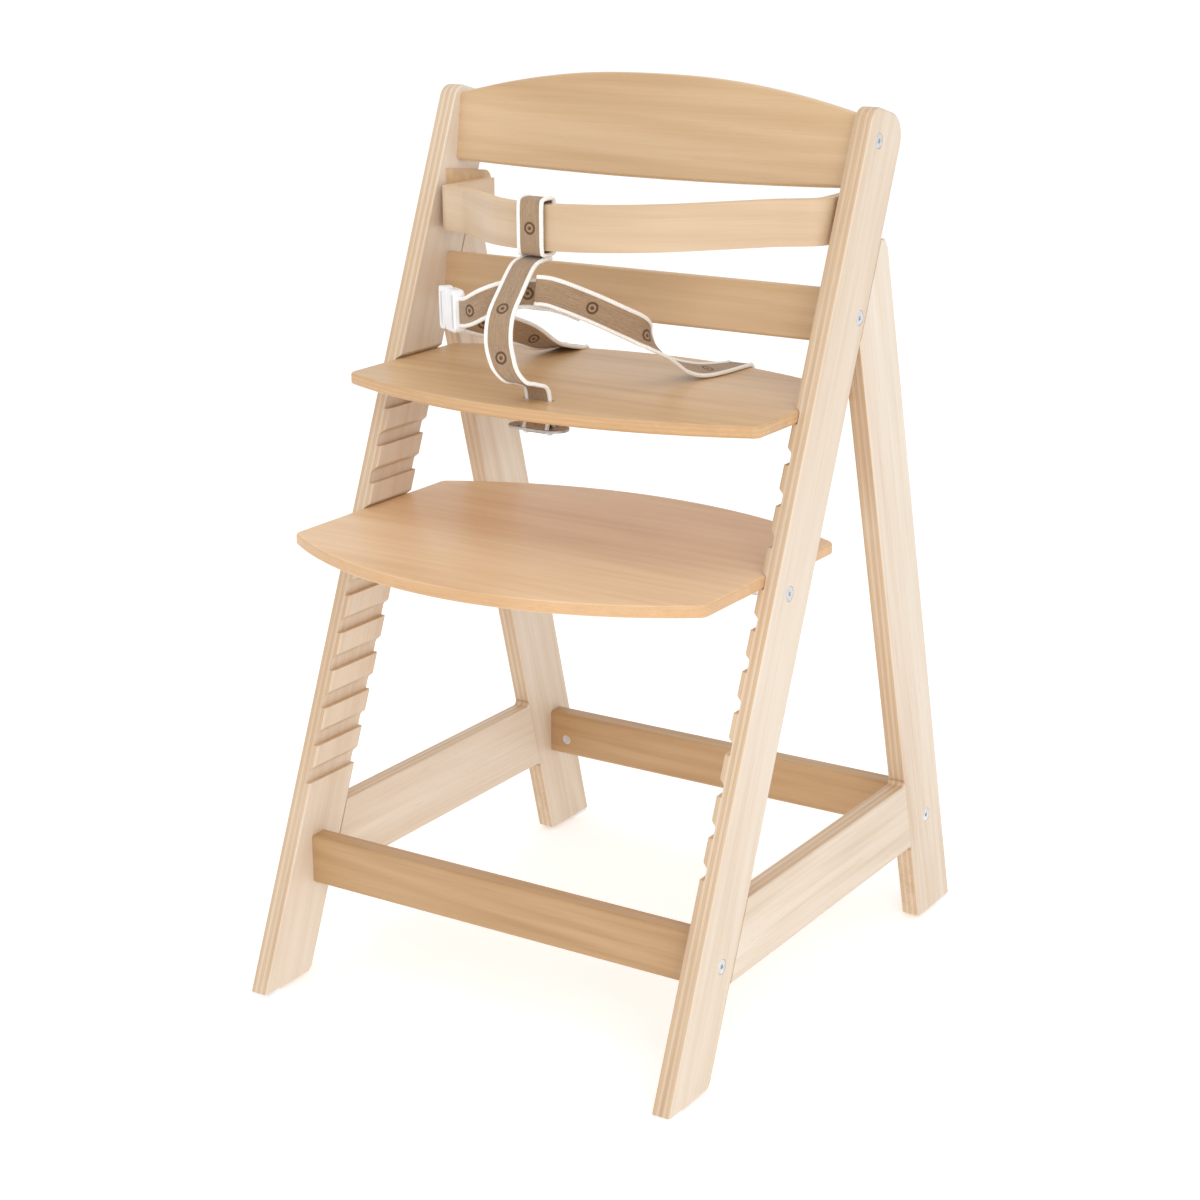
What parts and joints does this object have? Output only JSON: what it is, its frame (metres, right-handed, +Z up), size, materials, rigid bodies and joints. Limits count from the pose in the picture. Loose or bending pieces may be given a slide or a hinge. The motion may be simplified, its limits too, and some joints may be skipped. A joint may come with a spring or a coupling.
{
  "type": "baby high chair",
  "caption": "Wooden stair-type baby high chair with height-adjustable seat and footboard in side grooves, bent plywood guard bar, two-slat backrest and lap harness.",
  "frame": {"origin": "floor level, midway between the side frames and midway between front and rear feet", "axes": "+Z up, -Y to the front where the child faces, +X to the right in the front view from the camera's side"},
  "size_m": [0.45, 0.546, 0.8181],
  "materials": {
    "pale_wood": "clear matt lacquer on laminated pale wood",
    "beech_ply": "clear satin lacquer on beech-faced plywood",
    "zinc_steel": "zinc plated",
    "white_plastic": "moulded, satin",
    "taupe_webbing": "woven webbing with white piped edges"
  },
  "bodies": {
    "frame": {"left_post": "pale_wood", "right_post": "pale_wood", "left_rear_frame": "pale_wood", "right_rear_frame": "pale_wood", "backrest_upper": "beech_ply", "backrest_lower": "beech_ply", "front_rail": "beech_ply", "rear_rail": "beech_ply", "guard_bar": "beech_ply", "left_guard_pad": "beech_ply", "right_guard_pad": "beech_ply", "dowels": "beech_ply", "tie_rod": "zinc_steel", "backrest_bolts": "zinc_steel", "rail_bolts": "zinc_steel", "tie_rod_bolts": "zinc_steel", "backrest_nuts": "zinc_steel", "rail_nuts": "zinc_steel", "guard_screws": "zinc_steel", "front_left_glide": "white_plastic", "front_right_glide": "white_plastic", "rear_left_glide": "white_plastic", "rear_right_glide": "white_plastic", "crotch_strap_upper": "taupe_webbing"},
    "seat": {"seat_board": "beech_ply", "strap_anchor_plate": "zinc_steel", "crotch_strap_lower": "taupe_webbing", "waist_belt_left": "taupe_webbing", "waist_belt_right": "taupe_webbing", "waist_tail": "taupe_webbing", "left_belt_end": "taupe_webbing", "right_belt_end": "taupe_webbing", "belt_screws": "zinc_steel", "buckle_socket": "white_plastic"},
    "footboard": {"foot_board": "beech_ply"},
    "buckle_plug": {"buckle_plug": "white_plastic"}
  },
  "joints": [
    {"name": "seat_slide", "type": "slide", "parent": "frame", "child": "seat", "axis": [0, 1, 0], "range_m": [-0.03, 0.003]},
    {"name": "footboard_slide", "type": "slide", "parent": "frame", "child": "footboard", "axis": [0, 1, 0], "range_m": [-0.03, 0.04]},
    {"name": "buckle_release", "type": "slide", "parent": "seat", "child": "buckle_plug", "axis": [-0.799, 0.5993, -0.0499], "range_m": [0, 0.014]}
  ]
}
